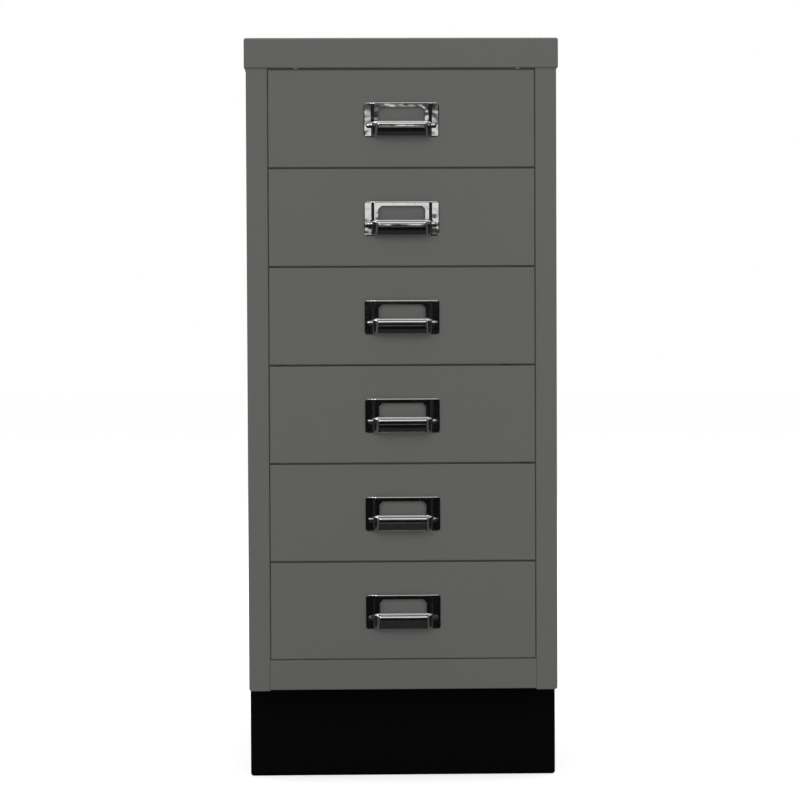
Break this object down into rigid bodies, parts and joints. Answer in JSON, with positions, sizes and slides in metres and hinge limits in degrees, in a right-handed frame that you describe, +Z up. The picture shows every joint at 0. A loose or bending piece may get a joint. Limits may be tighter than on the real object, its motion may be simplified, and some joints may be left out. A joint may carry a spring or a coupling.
{
  "type": "small metal drawer cabinet",
  "caption": "Tall narrow steel cabinet of shallow drawers for A4 papers, with chrome card-frame pulls, on a recessed black plinth.",
  "frame": {"origin": "on the floor, under the middle of the whole object, pulls included", "axes": "+X to the right seen from the front, +Y towards the back (the drawers open towards -Y), +Z up"},
  "size_m": [0.2834, 0.3888, 0.673],
  "materials": {
    "grey_paint": "warm mid-grey powder coat, satin, very fine orange peel",
    "plinth_paint": "black powder coat, satin",
    "chrome": "bright chrome plate",
    "runner_steel": "bright zinc-plated sheet, faintly brushed along its length",
    "zinc_steel": "clear zinc plate",
    "nylon": "natural nylon, matt"
  },
  "bodies": {
    "casing": {"left_side": "grey_paint", "right_side": "grey_paint", "top_panel": "grey_paint", "back_panel": "grey_paint", "base_panel": "grey_paint", "front_rail": "grey_paint", "left_front_post": "grey_paint", "left_rear_post": "grey_paint", "right_front_post": "grey_paint", "right_rear_post": "grey_paint", "left_runner_1": "runner_steel", "left_runner_2": "runner_steel", "left_runner_3": "runner_steel", "left_runner_4": "runner_steel", "left_runner_5": "runner_steel", "left_runner_6": "runner_steel", "right_runner_1": "runner_steel", "right_runner_2": "runner_steel", "right_runner_3": "runner_steel", "right_runner_4": "runner_steel", "right_runner_5": "runner_steel", "right_runner_6": "runner_steel", "left_runner_pads": "nylon", "right_runner_pads": "nylon", "plinth": "plinth_paint", "plinth_screws": "zinc_steel"},
    "drawer_1": {"drawer_1_front": "grey_paint", "drawer_1_tray": "grey_paint", "drawer_1_shoes": "nylon", "drawer_1_pull": "chrome"},
    "drawer_2": {"drawer_2_front": "grey_paint", "drawer_2_tray": "grey_paint", "drawer_2_shoes": "nylon", "drawer_2_pull": "chrome"},
    "drawer_3": {"drawer_3_front": "grey_paint", "drawer_3_tray": "grey_paint", "drawer_3_shoes": "nylon", "drawer_3_pull": "chrome"},
    "drawer_4": {"drawer_4_front": "grey_paint", "drawer_4_tray": "grey_paint", "drawer_4_shoes": "nylon", "drawer_4_pull": "chrome"},
    "drawer_5": {"drawer_5_front": "grey_paint", "drawer_5_tray": "grey_paint", "drawer_5_shoes": "nylon", "drawer_5_pull": "chrome"},
    "drawer_6": {"drawer_6_front": "grey_paint", "drawer_6_tray": "grey_paint", "drawer_6_shoes": "nylon", "drawer_6_pull": "chrome"}
  },
  "joints": [
    {"name": "drawer_1_slide", "type": "slide", "parent": "casing", "child": "drawer_1", "axis": [0, -1, 0], "range_m": [0, 0.278]},
    {"name": "drawer_2_slide", "type": "slide", "parent": "casing", "child": "drawer_2", "axis": [0, -1, 0], "range_m": [0, 0.278]},
    {"name": "drawer_3_slide", "type": "slide", "parent": "casing", "child": "drawer_3", "axis": [0, -1, 0], "range_m": [0, 0.278]},
    {"name": "drawer_4_slide", "type": "slide", "parent": "casing", "child": "drawer_4", "axis": [0, -1, 0], "range_m": [0, 0.278]},
    {"name": "drawer_5_slide", "type": "slide", "parent": "casing", "child": "drawer_5", "axis": [0, -1, 0], "range_m": [0, 0.278]},
    {"name": "drawer_6_slide", "type": "slide", "parent": "casing", "child": "drawer_6", "axis": [0, -1, 0], "range_m": [0, 0.278]}
  ]
}
